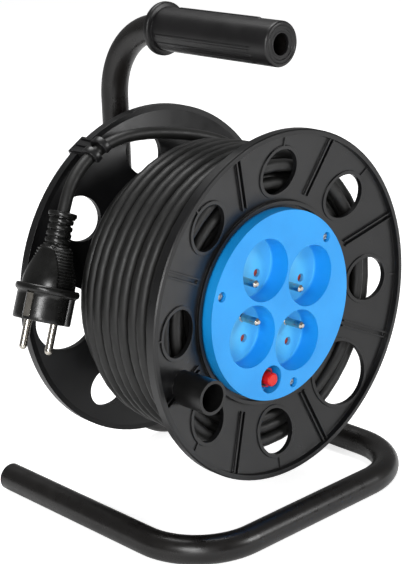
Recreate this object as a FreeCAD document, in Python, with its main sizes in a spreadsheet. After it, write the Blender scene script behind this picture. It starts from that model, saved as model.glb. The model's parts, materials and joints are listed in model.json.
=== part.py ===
"""Extension cord reel: bent tube stand, cable drum with a four-socket front panel, cord and plug.

Millimetres. +Z is up, the sockets face -Y, and the origin is the middle of the footprint on the floor.
Drum pieces are drawn about the drum axis (local Y, local origin at the drum's middle) and then placed.
Socket pieces are also turned about that axis, so that the four sockets form a square along local X and Z.
"""
import FreeCAD, Part
import math
import os
import re
import Sketcher

V = FreeCAD.Vector

SIZES = {
    # stand
    "tube_diameter": 18, "tube_wall": 1.5, "floor_bend": 45, "handle_bend": 50,
    "stand_half_width": 100.5, "handle_height": 303, "hub_height": 140, "leg_tail": 7,
    "rail_clearance": 10, "upright_gap": 20, "nut_reach": 8,
    "grip_diameter": 27.5, "grip_length": 104, "grip_setback": 1, "grip_wall": 3, "grip_hole": 13,
    "grip_collar_diameter": 34, "grip_collar_length": 4, "grip_rib_height": 0.7, "grip_rib_width": 1.6,
    "grip_rib_root": 0.5, "grip_rib_setback": 15,
    "end_cap_length": 3, "end_cap_plug": 10,
    # spindle
    "spindle_diameter": 16, "spindle_collar": 24, "stud_diameter": 8, "running_gap": 0.05,
    "end_play": 0.4, "washer_thickness": 1.5, "washer_diameter": 26, "saddle_diameter": 22,
    "saddle_length": 5, "retainer_screw_diameter": 5, "retainer_screw_length": 12,
    # drum flanges
    "flange_diameter": 222, "drum_width": 126, "rim_thickness": 3.5, "web_setback": 4,
    "web_thickness": 2.5, "web_inner_radius": 65, "dish_depth": 9, "ridge_width": 2.4,
    "ridge_height": 2, "seat_setback": 14, "mouth_radius": 51.5,
    "window_circle": 84.2, "window_diameter": 29, "big_window_diameter": 42, "front_window_angle": -2.5,
    "bead_width": 2.2, "bead_height": 0.8, "rib_start": 70, "rib_spacing": 4.4, "rib_width": 1,
    "rib_height": 1.6, "slot_depth": 1, "rear_window_angle": 8,
    # drum core and bearing
    "core_diameter": 120, "core_wall": 2.5, "boss_radius": 3.4, "boss_length": 16, "screw_circle": 54.5,
    "hub_wall": 3.5, "hub_tube_length": 40, "bush_wall": 2.5, "bush_length": 12,
    "cord_entry_y": -39.5, "gland_radius": 6.5, "gland_length": 6, "gland_nut_length": 4,
    "gland_neck_radius": 5, "gland_flat": 1, "gland_flush": 0.25,
    # socket panel
    "panel_diameter": 121.2, "panel_sink": 4.7, "panel_wall": 2.5, "socket_twist": 18,
    "socket_pitch": 41.6, "recess_diameter": 39.5, "recess_depth": 15, "cup_wall": 2,
    "contact_spacing": 19, "contact_tilt": 24, "contact_hole_diameter": 5.5, "earth_offset": 10,
    "pin_diameter": 4.8, "earth_pin_length": 14, "earth_shank_diameter": 5.6,
    "earth_stem_diameter": 3.2,
    "reset_radius": 47, "reset_angle": -85, "reset_well_diameter": 18, "reset_well_depth": 7.8,
    "reset_wall": 1.5, "reset_neck_diameter": 11, "reset_nut_diameter": 14, "reset_nut_length": 3,
    "reset_button_diameter": 8.6, "reset_travel": 2.5,
    "screw_diameter": 3, "screw_head_diameter": 5.6, "screw_head_height": 2,
    "screw_well_diameter": 6.4, "screw_well_depth": 3.4, "screw_play": 0.2, "screw_length": 14,
    # behind the panel
    "shutter_thickness": 2, "shutter_gap": 0.3, "shutter_pad_radius": 4, "shutter_pin_diameter": 3, "earth_seat_depth": 3,
    "housing_size": 70, "housing_corner": 10, "housing_thickness": 12, "strip_thickness": 1.5,
    "strip_width": 5.2, "strip_screw_gap": 0.4, "earth_strip_gap": 2.7, "post_offset": 31, "post_radius": 3,
    "cutout_width": 13, "cutout_height": 18, "cutout_length": 24, "wire_radius": 1.1,
    # winding knob
    "knob_radius_on_drum": 88, "knob_angle": -160, "knob_diameter": 21, "knob_wall": 2,
    "knob_length": 22, "knob_floor": 3, "knob_pin_diameter": 8, "knob_pin_head": 12,
    "knob_head_height": 2.5, "knob_play": 0.3,
    # cord
    "cord_diameter": 8, "coil_radius": 96, "coil_rear_radius": 90, "coil_gap": 0.6,
    "plug_radius": 18, "plug_face_depth": 17.4, "plug_collar_radius": 20, "plug_collar_length": 4.5,
    "plug_pin_length": 19, "boot_length": 20.5, "boot_radius": 7.8, "grip_body_length": 26,
    "clip_width": 14, "clip_wall": 2.5, "clip_channel": 10.4, "clip_play": 0.1,
}

# Sizes that follow from the driving ones. Each may use the ones above it.
DERIVED = {
    "tube_radius": "tube_diameter / 2",
    "flange_radius": "flange_diameter / 2",
    "rim_y": "drum_width / 2",
    "drum_y": "(rail_clearance - upright_gap - nut_reach) / 2",
    "front_axis_y": "drum_y - rim_y - rail_clearance - tube_radius",
    "rear_axis_y": "drum_y + rim_y + upright_gap + tube_radius",
    "grip_front_y": "drum_y - rim_y + grip_setback",
    "web_y": "rim_y - web_setback",
    "web_slope": "dish_depth / (flange_radius - rim_thickness - web_inner_radius)",
    "seat_y": "rim_y - seat_setback",
    "core_end_y": "seat_y - web_thickness",
    "core_radius": "core_diameter / 2",
    "panel_face_y": "rim_y - panel_sink",
    "recess_floor_y": "panel_face_y - recess_depth",
    "cup_back_y": "recess_floor_y - panel_wall",
    "housing_front_y": "cup_back_y - shutter_thickness - 2 * shutter_gap",
    "housing_back_y": "housing_front_y - housing_thickness",
    "strip_back_y": "housing_back_y - strip_thickness",
    "earth_strip_y": "strip_back_y - earth_strip_gap",
    "well_floor_y": "panel_face_y - reset_well_depth",
    "well_back_y": "well_floor_y - reset_wall",
    "spindle_radius": "spindle_diameter / 2",
    "bore_radius": "spindle_radius + running_gap",
    "bush_radius": "bore_radius + bush_wall",
    "hub_front_y": "seat_y - hub_tube_length",
    "hub_back_y": "seat_y + 0.5",
    "upright_front_y": "rim_y + upright_gap",
    "cord_radius": "cord_diameter / 2",
    "socket_offset": "socket_pitch / 2",
    "pin_radius": "pin_diameter / 2",
    "lip_radius": "flange_radius - rim_thickness",
    "knob_seat_y": "web_y - web_slope * (lip_radius - knob_radius_on_drum - knob_diameter / 2) + rib_height",
    "knob_base_y": "knob_seat_y + knob_play",
    "knob_head_y": "knob_base_y + knob_floor + knob_play",
    "contact_x": "contact_spacing / 2 * cos(contact_tilt)",
    "contact_z": "contact_spacing / 2 * sin(contact_tilt)",
    "earth_x": "earth_offset * sin(contact_tilt)",
    "earth_z": "earth_offset * cos(contact_tilt)",
}

# Route of the uncoiled cord, from the coil over the top of the drum to the plug, about the drum's middle.
CORD_ROUTE = [
    (56.0, 22.0, 68.0), (42.5, 26.5, 82.5), (21.6, 31.0, 91.4), (-5.1, 38.0, 97.5), (-30.4, 43.0, 99.6),
    (-49.7, 46.0, 95.9), (-68.1, 45.0, 88.0), (-83.0, 41.0, 76.4), (-91.4, 37.8, 62.8),
]
PLUG_AXIS = V(0.387, 0.078, 0.919)        # from the pins towards the cord
PLUG_PIN_LINE = V(0.289, -0.956, -0.041)  # from one pin to the other
GRIP_RIBS = (90, -8, 188, -30, 210, -52, 232)  # directions of the ribs round the grip, from +X to the top
CLIP_ANGLE = -31  # where the cord clip sits on the rear rim, from the top towards the left
ARC_SHARE = 0.45                          # part of the shorter run that an arc may use

SOCKETS = {"upper_right": (1, 1), "upper_left": (-1, 1), "lower_left": (-1, -1), "lower_right": (1, -1)}

doc = FreeCAD.newDocument("cord_reel")
sheet = doc.addObject("Spreadsheet::Sheet", "Sizes")
for row, (alias, number) in enumerate(SIZES.items(), start=1):
    sheet.set("A%d" % row, alias)
    sheet.set("B%d" % row, str(number))
    sheet.setAlias("B%d" % row, alias)
doc.recompute()

nodes = []


# ---------------------------------------------------------------- shared helpers

def spelled_out(text):
    """Replace derived names in a formula until only names of the sheet are left."""
    while True:
        longer = re.sub(r"[a-z_]{3,}", lambda m: "(%s)" % DERIVED[m[0]] if m[0] in DERIVED else m[0], text)
        if longer == text:
            return text
        text = longer


def bound(text):
    """A formula as an expression that refers to the sheet."""
    return re.sub(r"[a-z_]{3,}", lambda m: "Sizes." + m[0] if m[0] in SIZES else m[0], spelled_out(str(text)))


def value(text):
    """A formula's present number."""
    return float(sheet.evalExpression(spelled_out(str(text))))


def point(*texts):
    return V(*[value(text) for text in texts])


def keep(obj, name, placement=None):
    """Register a finished sub-part under its file name."""
    obj.Label = name
    nodes.append(obj)
    if placement == "socket":
        obj.Placement.Rotation = FreeCAD.Rotation(V(0, 1, 0), value("socket_twist"))
    if placement in ("drum", "socket"):
        obj.setExpression("Placement.Base.y", bound("drum_y"))
        obj.setExpression("Placement.Base.z", bound("hub_height"))
    return obj


def new_body(name):
    return doc.addObject("PartDesign::Body", name + "_body")


def new_sketch(body, role, depth="0"):
    """A sketch on one of the body's own origin planes, moved along the plane's normal by depth."""
    sketch = body.newObject("Sketcher::SketchObject", "Sketch")
    plane = [feature for feature in body.Origin.OriginFeatures if feature.Role == role][0]
    sketch.AttachmentSupport = [(plane, "")]
    sketch.MapMode = "FlatFace"
    sketch.setExpression("AttachmentOffset.Base.z", bound(depth))
    return sketch


def fix(sketch, kind, *numbers_and_formula):
    """Add a constraint whose size follows a formula."""
    *where, formula = numbers_and_formula
    index = sketch.addConstraint(Sketcher.Constraint(kind, *where, value(formula)))
    if value(formula) != 0:
        sketch.setExpression("Constraints[%d]" % index, bound(formula))


def pin_vertex(sketch, line, end, x, y):
    """Hold one end of a line at x, y from the sketch's origin; the signs come from the formulas."""
    for kind, formula in (("DistanceX", x), ("DistanceY", y)):
        fix(sketch, kind, -1, 1, line, end, formula)


def outline(sketch, corners):
    """Closed outline of straight lines through corners given as pairs of formulas."""
    spots = [point(x, y, 0) for x, y in corners]
    lines = []
    for start, end in zip(spots, spots[1:] + spots[:1]):
        lines.append(sketch.addGeometry(Part.LineSegment(start, end), False))
    for line, (x, y) in zip(lines, corners):
        following = lines[(lines.index(line) + 1) % len(lines)]
        sketch.addConstraint(Sketcher.Constraint("Coincident", line, 2, following, 1))
        pin_vertex(sketch, line, 1, x, y)


def circle(sketch, x, y, radius):
    index = sketch.addGeometry(Part.Circle(point(x, y, 0), V(0, 0, 1), value(radius)), False)
    fix(sketch, "Radius", index, radius)
    pin_vertex(sketch, index, 3, x, y)


def revolved(name, corners):
    """Body turned about local Y from a half section given as (radius, y) formulas."""
    body = new_body(name)
    sketch = new_sketch(body, "XY_Plane")
    outline(sketch, corners)
    turn = body.newObject("PartDesign::Revolution", "Revolution")
    turn.Profile = sketch
    turn.ReferenceAxis = (sketch, ["V_Axis"])
    turn.Angle = 360
    body.Tip = turn
    doc.recompute()
    return body


def pad_back(body, sketch, length):
    """Pad a sketch on the XZ plane towards +Y, into the drum."""
    feature = body.newObject("PartDesign::Pad", "Pad")
    feature.Profile = sketch
    feature.Reversed = True
    feature.setExpression("Length", bound(length))
    body.Tip = feature
    doc.recompute()
    return feature


def cut(body, sketch, length, towards_front=False):
    """Pocket a sketch on the XZ plane towards +Y, or towards -Y, and check that it took something away."""
    before = body.Shape.Volume
    feature = body.newObject("PartDesign::Pocket", "Pocket")
    feature.Profile = sketch
    feature.Reversed = towards_front
    feature.setExpression("Length", bound(length))
    body.Tip = feature
    doc.recompute()
    if body.Shape.Volume >= before:
        raise RuntimeError(body.Name + ": a pocket cut nothing")
    return feature


def repeat(body, features, count):
    """Copy features evenly round local Y."""
    pattern = body.newObject("PartDesign::PolarPattern", "PolarPattern")
    pattern.Originals = features
    axis = [feature for feature in body.Origin.OriginFeatures if feature.Role == "Y_Axis"][0]
    pattern.Axis = (axis, [""])
    pattern.Angle = 360
    pattern.Occurrences = count
    body.Tip = pattern
    doc.recompute()
    return pattern


def shape_node(name, shape, placement=None):
    """Sub-part whose shape is made directly from sheet values."""
    obj = doc.addObject("Part::Feature", name)
    obj.Shape = shape
    return keep(obj, name, placement)


def cylinder(radius, length, x="0", y="0", z="0"):
    """Part::Cylinder along +Y, starting at x, y, z."""
    obj = doc.addObject("Part::Cylinder", "Cylinder")
    obj.Placement.Rotation = FreeCAD.Rotation(V(1, 0, 0), -90)
    obj.setExpression("Radius", bound(radius))
    obj.setExpression("Height", bound(length))
    return placed(obj, x, y, z)


def box(length, width, height, x, y, z):
    """Part::Box whose low corner is at x, y, z; width runs along Y."""
    obj = doc.addObject("Part::Box", "Box")
    for side, formula in (("Length", length), ("Width", width), ("Height", height)):
        obj.setExpression(side, bound(formula))
    return placed(obj, x, y, z)


def placed(obj, x, y, z):
    for axis, formula in zip("xyz", (x, y, z)):
        obj.setExpression("Placement.Base." + axis, bound(formula))
    return obj


def helper_shape(shape):
    """Tool or blank for a boolean, made directly from sheet values."""
    obj = doc.addObject("Part::Feature", "Shape")
    obj.Shape = shape
    return obj


def fused(parts):
    obj = doc.addObject("Part::MultiFuse", "Fusion")
    obj.Shapes = parts
    obj.Refine = True
    return obj


def without(base, tools):
    """Base with every tool cut away."""
    obj = doc.addObject("Part::Cut", "Cut")
    obj.Base = base
    obj.Tool = tools[0] if len(tools) == 1 else fused(tools)
    obj.Refine = True
    return obj


def polar(radius, angle):
    """Point at a radius and an angle in the XZ plane."""
    turn = math.radians(angle)
    return V(radius * math.cos(turn), 0, radius * math.sin(turn))


def rod(radius, length, base, direction):
    return Part.makeCylinder(radius, length, base, direction)


def tube_shape(outer, inner, length, base, direction):
    return rod(outer, length, base, direction).cut(rod(inner, length, base, direction))


def rounded_route(points, radii):
    """Wire of straight runs joined by tangent arcs of the given radii."""
    edges = []
    start = points[0]
    for before, corner, after, radius in zip(points, points[1:], points[2:], radii):
        back = (before - corner).normalize()
        ahead = (after - corner).normalize()
        half = back.getAngle(ahead) / 2
        reach = radius / math.tan(half)
        middle = (back + ahead).normalize() * (radius / math.sin(half) - radius)
        first = corner + back * reach
        last = corner + ahead * reach
        edges.append(Part.LineSegment(start, first).toShape())
        edges.append(Part.Arc(first, corner + middle, last).toShape())
        start = last
    edges.append(Part.LineSegment(start, points[-1]).toShape())
    return Part.Wire(edges)


def swept(wire, radius):
    """Round bar of a radius along a wire."""
    start = wire.Edges[0]
    ring = Part.makeCircle(radius, start.valueAt(start.FirstParameter), start.tangentAt(start.FirstParameter))
    return wire.makePipeShell([Part.Wire(ring)], True, False)


def cord_radii(points):
    """Arc radius at each inner point of a cord: a share of its shorter run over the half turn's tangent."""
    radii = []
    for before, corner, after in zip(points, points[1:], points[2:]):
        shorter = min((corner - before).Length, (after - corner).Length)
        turn = (corner - before).getAngle(after - corner)
        radii.append(ARC_SHARE * shorter / math.tan(turn / 2))
    return radii


def cord(name, points, radius, placement):
    """Cord or wire along hand-chosen points; prints its arc radii and compares its volume."""
    radii = cord_radii(points)
    wire = rounded_route(points, radii)
    shape = swept(wire, radius)
    expected = math.pi * radius ** 2 * wire.Length
    ratio = shape.Volume / expected
    print("%s: length %.1f, radii %s, volume ratio %.4f"
          % (name, wire.Length, [round(number, 1) for number in radii], ratio))
    return shape_node(name, shape, placement)


# ---------------------------------------------------------------- stand

def frame_tube():
    """One bent tube: handle, upright behind the drum, and the loop that lies on the floor."""
    width = value("stand_half_width")
    floor = value("tube_radius")
    front = value("front_axis_y")
    rear = value("rear_axis_y")
    high = value("handle_height")
    corners = [
        V(0, value("grip_front_y + grip_wall"), high), V(0, rear, high), V(0, rear, floor),
        V(width, rear, floor), V(width, front, floor), V(-width, front, floor),
        V(-width, rear + value("leg_tail"), floor),
    ]
    bend = value("floor_bend")
    wire = rounded_route(corners, [value("handle_bend"), bend, bend, bend, bend])
    tube = swept(wire, value("tube_radius")).cut(swept(wire, value("tube_radius - tube_wall")))
    hole = rod(value("stud_diameter / 2"), value("tube_diameter + 4"),
               V(0, rear - value("tube_radius + 2"), value("hub_height")), V(0, 1, 0))
    shape_node("frame_tube", tube.cut(hole))


def handle_grip():
    """Moulded sleeve with an end wall, a rear collar and lengthwise ribs."""
    bore = "tube_radius"
    outer = "grip_diameter / 2"
    body = revolved("handle_grip", [
        ("grip_hole / 2", "0"), (outer + " - 1.5", "0"), (outer, "1.5"),
        (outer, "grip_length - grip_collar_length"),
        ("grip_collar_diameter / 2 - 0.6", "grip_length - grip_collar_length"),
        ("grip_collar_diameter / 2", "grip_length - grip_collar_length + 1"),
        ("grip_collar_diameter / 2", "grip_length - 1"),
        ("grip_collar_diameter / 2 - 1", "grip_length"),
        (bore, "grip_length"), (bore, "grip_wall"), ("grip_hole / 2", "grip_wall"),
    ])
    width = value("grip_rib_width")
    bars = []
    for angle in GRIP_RIBS:
        bar = Part.makeBox(value("grip_rib_height + grip_rib_root"), value("grip_length - 2 * grip_rib_setback"), width,
                           V(value("grip_diameter / 2 - grip_rib_root"), value("grip_rib_setback"), -width / 2))
        bar.rotate(V(0, 0, 0), V(0, 1, 0), -angle)
        bars.append(bar)
    ribs = Part.makeCompound(bars)
    keep(placed(fused([body, helper_shape(ribs)]), "0", "grip_front_y", "handle_height"), "handle_grip")


def tube_end_cap():
    """Plastic plug in the open end of the left floor leg."""
    inner = "tube_radius - tube_wall"
    body = revolved("tube_end_cap", [
        ("0", "-end_cap_plug"), (inner, "-end_cap_plug"), (inner, "0"), ("tube_radius", "0"),
        ("tube_radius", "end_cap_length - 1.5"), ("tube_radius - 1.5", "end_cap_length"), ("0", "end_cap_length"),
    ])
    body.setExpression("Placement.Base.x", bound("-stand_half_width"))
    body.setExpression("Placement.Base.y", bound("rear_axis_y + leg_tail"))
    body.setExpression("Placement.Base.z", bound("tube_radius"))
    keep(body, "tube_end_cap")


# ---------------------------------------------------------------- spindle

def spindle():
    """Fixed steel axle: bearing length, thrust collar, neck and threaded stud through the upright."""
    front = "hub_front_y - end_play"
    collar_front = "hub_back_y + end_play"
    collar_back = "hub_back_y + end_play + 4"
    shoulder = "upright_front_y - saddle_length + 2"
    stud_end = "upright_front_y + tube_diameter + nut_reach"
    keep(revolved("spindle", [
        ("retainer_screw_diameter / 2", front), ("spindle_radius", front), ("spindle_radius", collar_front),
        ("spindle_collar / 2", collar_front), ("spindle_collar / 2", collar_back),
        ("spindle_radius", collar_back), ("spindle_radius", shoulder),
        ("stud_diameter / 2", shoulder), ("stud_diameter / 2", stud_end), ("0", stud_end),
        ("0", front + " + retainer_screw_length"),
        ("retainer_screw_diameter / 2", front + " + retainer_screw_length"),
    ]), "spindle", "drum")


def saddle(name, start, length):
    """Disc with a hollow that seats on the round upright."""
    disc = cylinder("saddle_diameter / 2", length, y=start)
    bore = cylinder("stud_diameter / 2", length, y=start)
    upright = doc.addObject("Part::Cylinder", "Upright")
    upright.setExpression("Radius", bound("tube_radius"))
    upright.setExpression("Height", bound("saddle_diameter + 4"))
    placed(upright, "0", "upright_front_y + tube_radius", "-saddle_diameter / 2 - 2")
    keep(without(disc, [bore, upright]), name, "drum")


def spindle_fasteners():
    saddle("spindle_saddle_front", "upright_front_y - saddle_length + 2", "saddle_length")
    saddle("spindle_saddle_rear", "upright_front_y + tube_diameter - saddle_length + 3", "saddle_length - 1.5")
    nut = doc.addObject("Part::Prism", "Hexagon")
    nut.Polygon = 6
    nut.Placement.Rotation = FreeCAD.Rotation(V(1, 0, 0), -90)
    nut.setExpression("Circumradius", bound("stud_diameter * 0.94"))
    nut.setExpression("Height", bound("nut_reach - 2.3"))
    nut_start = "upright_front_y + tube_diameter + 1.5"
    placed(nut, "0", nut_start, "0")
    keep(without(nut, [cylinder("stud_diameter / 2", "nut_reach", y=nut_start)]), "spindle_nut", "drum")
    washer_y = "hub_front_y - end_play - washer_thickness"
    washer = cylinder("washer_diameter / 2", "washer_thickness", y=washer_y)
    bore = cylinder("retainer_screw_diameter / 2", "washer_thickness", y=washer_y)
    keep(without(washer, [bore]), "retainer_washer", "drum")
    head = cylinder("retainer_screw_diameter * 0.9", "3", y=washer_y + " - 3")
    shank = cylinder("retainer_screw_diameter / 2", "retainer_screw_length + washer_thickness", y=washer_y)
    keep(fused([head, shank]), "retainer_screw", "drum")


# ---------------------------------------------------------------- drum flanges

def web_layer(front, back):
    """Thin dished layer parallel to the front web's face; both levels are heights above that face."""
    lip = value("lip_radius")
    inner = value("web_inner_radius")
    rise = value("dish_depth")
    face = -value("web_y")
    corners = [V(lip, face - front, 0), V(lip, face - back, 0),
               V(inner, face + rise - back, 0), V(inner, face + rise - front, 0)]
    section = Part.Face(Part.makePolygon(corners + corners[:1]))
    return section.revolve(V(0, 0, 0), V(0, 1, 0), 360)


def window_spots(first_angle, big_step):
    """Angle and radius of the eight windows; one of them is larger."""
    spots = []
    for step in range(8):
        size = "big_window_diameter" if step == big_step else "window_diameter"
        spots.append((first_angle + 45 * step, value(size) / 2))
    return spots


def through_rods(spots, circle_radius, extra=0.0):
    """Rods right through the front half of the drum at (angle, radius) spots."""
    depth = value("drum_width")
    return [rod(radius + extra, depth, polar(circle_radius, angle) - V(0, depth, 0), V(0, 1, 0))
            for angle, radius in spots]


def radial_bar(angle, inner, outer, width, offset=0.0):
    """Bar along a radius, right through the front half of the drum."""
    depth = value("drum_width")
    bar = Part.makeBox(outer - inner, depth, width, V(inner, -depth, offset - width / 2))
    bar.rotate(V(0, 0, 0), V(0, 1, 0), -angle)
    return bar


def raised_details(spots):
    """Beads round the windows and out to the lip, and the double ribs between the windows."""
    lip = value("lip_radius") + 1
    width = value("rib_width")
    beads = through_rods(spots, value("window_circle"), value("bead_width"))
    beads += [radial_bar(angle, value("window_circle"), lip, value("bead_width") / 2) for angle, _ in spots]
    ribs = []
    for angle, _ in spots:
        for side in (-1, 1):
            offset = side * (value("rib_spacing") - width) / 2
            ribs.append(radial_bar(angle + 22.5, value("rib_start"), lip, width, offset))
    bead_layer = web_layer(value("bead_height"), -0.5)
    rib_layer = web_layer(value("rib_height"), -0.5)
    shapes = [bar.common(bead_layer) for bar in beads] + [bar.common(rib_layer) for bar in ribs]
    return shapes[0].multiFuse(shapes[1:])


def sunk_details(spots):
    """Slots between the double ribs, and the windows themselves."""
    gap = value("rib_spacing - 2 * rib_width")
    layer = web_layer(0.5, -value("slot_depth"))
    slots = [radial_bar(angle + 22.5, value("rib_start") + 1, value("lip_radius") - 1, gap).common(layer)
             for angle, _ in spots]
    return slots + through_rods(spots, value("window_circle"))


def flange_blank(name, centre_corners, side=""):
    """Lip, dished web and ridge, closed through the given inner corners; side "-" is the front one."""
    def at(formula):
        return side + "(" + formula + ")"
    corners = [
        ("flange_radius - 0.8", at("rim_y")), ("lip_radius", at("rim_y")), ("lip_radius", at("web_y")),
        ("web_inner_radius", at("web_y - dish_depth")),
        ("web_inner_radius", at("web_y - dish_depth + ridge_height")),
        ("web_inner_radius - ridge_width", at("web_y - dish_depth + ridge_height")),
        ("web_inner_radius - ridge_width", at("seat_y")),
    ]
    corners += [(radius, at(depth)) for radius, depth in centre_corners]
    corners += [
        ("web_inner_radius - ridge_width", at("core_end_y")),
        ("web_inner_radius", at("web_y - dish_depth - web_thickness")),
        ("lip_radius", at("web_y - web_thickness")), ("flange_radius", at("web_y - web_thickness")),
        ("flange_radius", at("rim_y - 0.8")),
    ]
    return revolved(name, corners)


PANEL_SCREWS = (40, 160, 280)
CORE_SCREWS = (100, 220, 340)


def screw_spots(angles, radius):
    return through_rods([(angle, value(radius)) for angle in angles], value("screw_circle"))


def front_flange():
    """Open in the middle for the sockets; carries the knob's boss and the panel's screws."""
    blank = flange_blank("front_flange", [("mouth_radius", "seat_y"), ("mouth_radius", "core_end_y")], "-")
    spots = window_spots(value("front_window_angle"), 7)
    depth = value("drum_width")
    knob = polar(value("knob_radius_on_drum"), value("knob_angle"))
    boss = rod(value("knob_diameter / 2 - 0.5"), value("web_thickness + dish_depth"),
               knob - V(0, value("knob_seat_y"), 0), V(0, 1, 0))
    boss = boss.cut(web_layer(-0.5, -depth))
    tools = sunk_details(spots) + screw_spots(PANEL_SCREWS + CORE_SCREWS, "screw_diameter / 2 + screw_play")
    reset = polar(value("reset_radius"), value("reset_angle - socket_twist"))
    tools.append(rod(value("reset_neck_diameter / 2 + 1"), depth, reset - V(0, depth, 0), V(0, 1, 0)))
    tools.append(rod(value("knob_pin_diameter / 2"), depth, knob - V(0, depth, 0), V(0, 1, 0)))
    raised = helper_shape(raised_details(spots).fuse(boss))
    keep(without(fused([blank, raised]), [helper_shape(Part.makeCompound(tools))]), "front_flange", "drum")


def rear_flange():
    """Closed in the middle, with the long hub tube that holds the bearing bushes."""
    hub = "bush_radius + hub_wall"
    blank = flange_blank("rear_flange", [
        (hub + " + 2", "seat_y"), (hub, "hub_back_y"), ("bush_radius", "hub_back_y"),
        ("bush_radius", "hub_front_y"), (hub, "hub_front_y"), (hub, "core_end_y"),
    ])
    spots = window_spots(value("rear_window_angle"), 4)
    tools = sunk_details(spots) + screw_spots(CORE_SCREWS, "screw_diameter / 2 + screw_play")
    middle = V(0, 0, 0)
    raised = helper_shape(raised_details(spots).mirror(middle, V(0, 1, 0)))
    tools = helper_shape(Part.makeCompound(tools).mirror(middle, V(0, 1, 0)))
    keep(without(fused([blank, raised]), [tools]), "rear_flange", "drum")


# ---------------------------------------------------------------- drum core and bearing

def drum_core():
    """Barrel that the cord is wound on, with screw bosses at both ends and a hole for the cord."""
    outer = cylinder("core_radius", "2 * core_end_y", y="-core_end_y")
    inner = cylinder("core_radius - core_wall", "2 * core_end_y", y="-core_end_y")
    bosses = []
    pilots = []
    for angle in PANEL_SCREWS + CORE_SCREWS:
        x = "screw_circle * cos(%d)" % angle
        z = "screw_circle * sin(%d)" % angle
        bosses.append(cylinder("boss_radius", "boss_length", x, "-core_end_y", z))
        pilots.append(cylinder("screw_diameter / 2", "boss_length", x, "-core_end_y", z))
        if angle in CORE_SCREWS:
            bosses.append(cylinder("boss_radius", "boss_length", x, "core_end_y - boss_length", z))
            pilots.append(cylinder("screw_diameter / 2", "boss_length", x, "core_end_y - boss_length", z))
    barrel = without(outer, [inner])
    angle = math.radians(90 - value("socket_twist"))
    hole = helper_shape(rod(value("gland_neck_radius"), 20, V(0, value("cord_entry_y"), 0)
                            + V(math.cos(angle), 0, math.sin(angle)) * value("core_radius - core_wall - 4"),
                            V(math.cos(angle), 0, math.sin(angle))))
    keep(without(fused([barrel] + bosses), pilots + [hole]), "drum_core", "drum")


def hub_bushes():
    """Two flanged plain bushes pressed into the hub tube."""
    for name, start in (("hub_bush_front", "hub_front_y"), ("hub_bush_rear", "hub_back_y - bush_length")):
        sleeve = cylinder("bush_radius", "bush_length", y=start)
        bore = cylinder("bore_radius", "bush_length", y=start)
        keep(without(sleeve, [bore]), name, "drum")


def screws(name, angles, head_y, length, direction):
    """Group of equal pan-head screws on the screw circle; direction 1 points to the rear."""
    parts = []
    for angle in angles:
        x = "screw_circle * cos(%d)" % angle
        z = "screw_circle * sin(%d)" % angle
        head_start = head_y + (" - screw_head_height" if direction > 0 else "")
        shank_start = head_y + ("" if direction > 0 else " - " + length)
        head = cylinder("screw_head_diameter / 2", "screw_head_height", x, head_start, z)
        shank = cylinder("screw_diameter / 2", length, x, shank_start, z)
        parts.append(fused([head, shank]))
    group = doc.addObject("Part::Compound", name)
    group.Links = parts
    keep(group, name, "drum")


# ---------------------------------------------------------------- socket panel

def socket_centre(sx, sz, dx="0", dz="0"):
    """Formulas for a point near a socket's centre, in the turned socket frame."""
    return "%d * socket_offset + %s" % (sx, dx), "%d * socket_offset + %s" % (sz, dz)


def ring_of(angles, radius, twist="0"):
    """Formulas for points at a radius and angles, with the angles less a twist."""
    return [(radius + " * cos(%s - %s)" % (angle, twist), radius + " * sin(%s - %s)" % (angle, twist))
            for angle in angles]


def circles_on(body, depth, spots, radius):
    """Sketch across the drum axis, at a distance ahead of the drum's middle, with equal circles."""
    sketch = new_sketch(body, "XZ_Plane", depth)
    for x, z in spots:
        circle(sketch, x, z, radius)
    return sketch


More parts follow.
